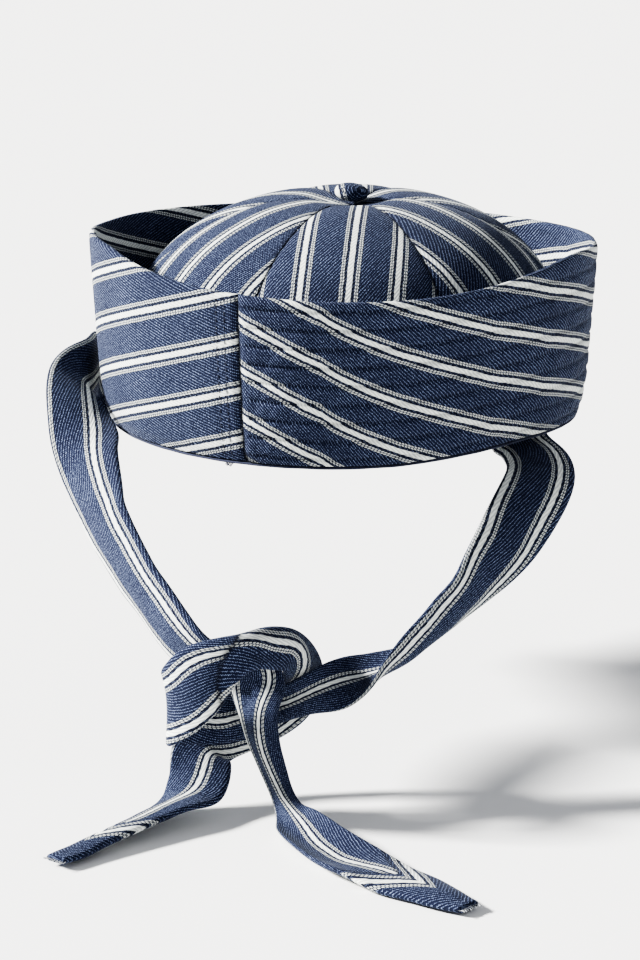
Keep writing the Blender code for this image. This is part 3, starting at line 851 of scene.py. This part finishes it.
def tie_cloth(name, node, rows, material, seed, fold=None):
    """One tie through its table's sections, with the place in the table where it folds over the knot, and the
    frayed threads at its end."""
    long_mm = tie_sections(rows, 50)[4][-1]
    count = round(long_mm / TIE_STEP) + 1
    middle, tangent, way, (wide, crown, roll, shows), run = tie_sections(rows, count)
    facing = np.cross(tangent, way)
    bend = TIE_CLOTH / 2
    folded = np.inf
    if fold:
        crease = smooth_between(rows, [fold])[0, :3]
        folded = run[np.argmin(np.linalg.norm(middle - crease, axis=1))]

    def nearest(along):
        """The number of the section at each share of the tie's length."""
        return np.clip(np.round(along * (count - 1)).astype(int), 0, count - 1)

    def section(turn, flat_half):
        """The pressed tube's section: how far across and how far proud each point is, from the near edge
        over the front to the far edge and back behind."""
        front = turn <= 0.5
        on = np.where(front, turn, 1 - turn) * 2 * (2 * flat_half + math.pi * bend)
        quarter = math.pi * bend / 2
        near, far = on < quarter, on > quarter + 2 * flat_half
        away = on - quarter - 2 * flat_half
        across = np.where(near, -flat_half - bend * np.cos(on / bend), on - quarter - flat_half)
        across = np.where(far, flat_half + bend * np.sin(away / bend), across)
        proud = np.where(near, bend * np.sin(on / bend), np.where(far, bend * np.cos(away / bend), bend))
        return across, np.where(front, proud, -proud)

    def place(along, turn):
        at = nearest(along)
        across, proud = section(turn, wide[at] / 2 - bend)
        share = across / (wide[at] / 2)
        # where the tie is squeezed narrow, the cloth gathers along it
        before_tail = np.clip((run[-1] - run[at] - TAIL_LENGTH) / 30, 0, 1)
        squeeze = np.clip((TIE_WIDE - 3 - wide[at]) / 12, 0, 1) * before_tail
        gather = 0.8 * np.sin(share * 4.5 + 0.5 + 2.2 * rumple(middle, 30, seed)[at])
        soft = 0.4 * rumple(np.stack([run[at], across, 0 * run[at]], axis=1), 11, seed + 3)
        proud = proud + crown[at] * (0.5 - share**2) + squeeze * gather + soft
        return middle[at] + way[at] * across[:, None] + facing[at] * proud[:, None]

    def off_mitre(along, turn):
        """How far each point lies from the tail's V, square to its arms, and how far along them."""
        at = nearest(along)
        across = np.abs(turn % 0.5 - 0.25) * 2 * wide[at]
        back = run[-1] - run[at]
        slant = math.hypot(1, MITRE_SLOPE)
        return (back - MITRE_POINT - MITRE_SLOPE * across) / slant, (MITRE_SLOPE * back + across) / slant

    def past_fold(along, turn):
        """How far each point lies past the fold over the knot."""
        off_middle = TIE_WIDE / 2 - np.abs(turn - 0.5) * 2 * TIE_WIDE
        return along * run[-1] - folded - FOLD_SLANT * off_middle

    def by_face(marks):
        """The mean of each face's four corners' marks, for all four."""
        return np.repeat(marks.reshape(-1, 4).mean(axis=1), 4)

    def flat(along, turn):
        at = nearest(along)
        off, on = off_mitre(along, turn)
        mitred = by_face(off) < MITRE_SEAM
        past = by_face(past_fold(along, turn)) > 0
        shown = np.where(past, shows[at], TIE_WIDE) if fold else shows[at]
        straight = np.stack([turn * 2 * shown + roll[at] + FOLD_JUMP * past, along * run[-1]], axis=1)
        return np.where(mitred[:, None], np.stack([off + TIE_FIRST, on], axis=1), straight)

    # the mitre's seam as a dark line, and painted shade in the crease of the fold over the knot
    def shade(along, turn):
        seam = np.exp(-(((off_mitre(along, turn)[0] - MITRE_SEAM) / 0.35) ** 2))
        return 0.85 * seam + 0.7 * np.exp(-((past_fold(along, turn) / 1.6) ** 2))

    made = cloth_grid(name, (count - 1, TIE_FACES), place, flat, material, shade, closed=True)
    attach(made, "root")
    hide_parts(node)
    frays = []
    for at in range(FRAY_COUNT):
        start = middle[-1] + way[-1] * (at - FRAY_COUNT // 2) * FRAY_PITCH
        bow = rumple(np.array([[at * 7.0, 0, k * 5.0] for k in range(5)]), 4, seed + at)
        reach = 2.6 + 1.6 * bow[0]
        points = []
        for k in range(5):
            ahead, beside = tangent[-3] * (reach * k / 4 - 0.6), way[-1] * bow[k] * 1.1 * k / 4
            points.append(start + beside + ahead + np.array([0, 0, 0.5 * bow[-k]]))
        frays.append(sewn_line(points))
    joined_threads(f"{node}_fray", frays, fray_paint)


tie_twill = striped_cloth("tie_twill", TIE_FIRST, pitch=20.0, turn=17)
tie_cloth("tie_left_cloth", "tie_left", LEFT_TIE, tie_twill, 2)
tie_cloth("tie_right_cloth", "tie_right", RIGHT_TIE, tie_twill, 6, fold=KNOT_FOLD)

# Stage: a plain pale floor, level with the lowest tie.
FLOOR = -122.6
bpy.ops.mesh.primitive_plane_add(size=12, location=(0, 0, FLOOR * MM))
floor = bpy.context.object
floor.name = floor.data.name = "pale_floor"
floor_paint, _, floor_shader = new_material("floor_paint")
floor_shader.inputs["Base Color"].default_value = (0.9, 0.9, 0.89, 1)
floor_shader.inputs["Roughness"].default_value = 0.9
floor.data.materials.append(floor_paint)
bpy.ops.object.select_all(action="DESELECT")

# Light: a soft key from the left and a little behind, a broad dim fill from the front, and a pale room.
bpy.ops.object.light_add(type="SUN", location=(-1.5, 0.25, 1.3))
key_lamp = bpy.context.object
key_lamp.name = "key_lamp"
key_lamp.data.energy = 12.0
key_lamp.data.angle = math.radians(9)
key_lamp.data.color = (1.0, 0.985, 0.96)
key_lamp.rotation_euler = Vector((0.85, -0.08, -0.5)).to_track_quat("-Z", "Y").to_euler()
bpy.ops.object.light_add(type="AREA", location=(1.7, -2.2, 0.5))
fill_lamp = bpy.context.object
fill_lamp.name = "fill_lamp"
fill_lamp.data.size = 2.0
fill_lamp.data.energy = 13
fill_lamp.data.color = (0.95, 0.97, 1.0)
fill_lamp.rotation_euler = Vector((-1.7, 2.1, -0.5)).to_track_quat("-Z", "Y").to_euler()
room = bpy.data.worlds.new("pale_room")
room.use_nodes = True
room_tree = room.node_tree
room_shader = room_tree.nodes["Background"]
room_shader.inputs["Color"].default_value = (0.93, 0.95, 1.0, 1)
# the room lights the cap dimly, and past the floor's edge it looks as pale as the floor
room_seen = room_tree.nodes.new("ShaderNodeLightPath").outputs["Is Camera Ray"]
room_strength = add_math(room_tree, "MULTIPLY_ADD", room_seen, 1.7, 0.42)
room_tree.links.new(room_strength, room_shader.inputs["Strength"])
bpy.context.scene.world = room

# Camera: in front of the cap and a little above it, with a long lens.
CAMERA_PLACE = (-0.0096, -1.4616, 0.370)
CAMERA_DOWN = 15.4  # degrees below level
bpy.ops.object.camera_add(location=CAMERA_PLACE, rotation=(math.radians(90 - CAMERA_DOWN), 0, 0))
camera = bpy.context.object
camera.data.sensor_width = 36.0
camera.data.lens = 133.9
bpy.context.scene.camera = camera
bpy.context.scene.view_settings.view_transform = "AgX"
bpy.context.scene.view_settings.look = "AgX - High Contrast"
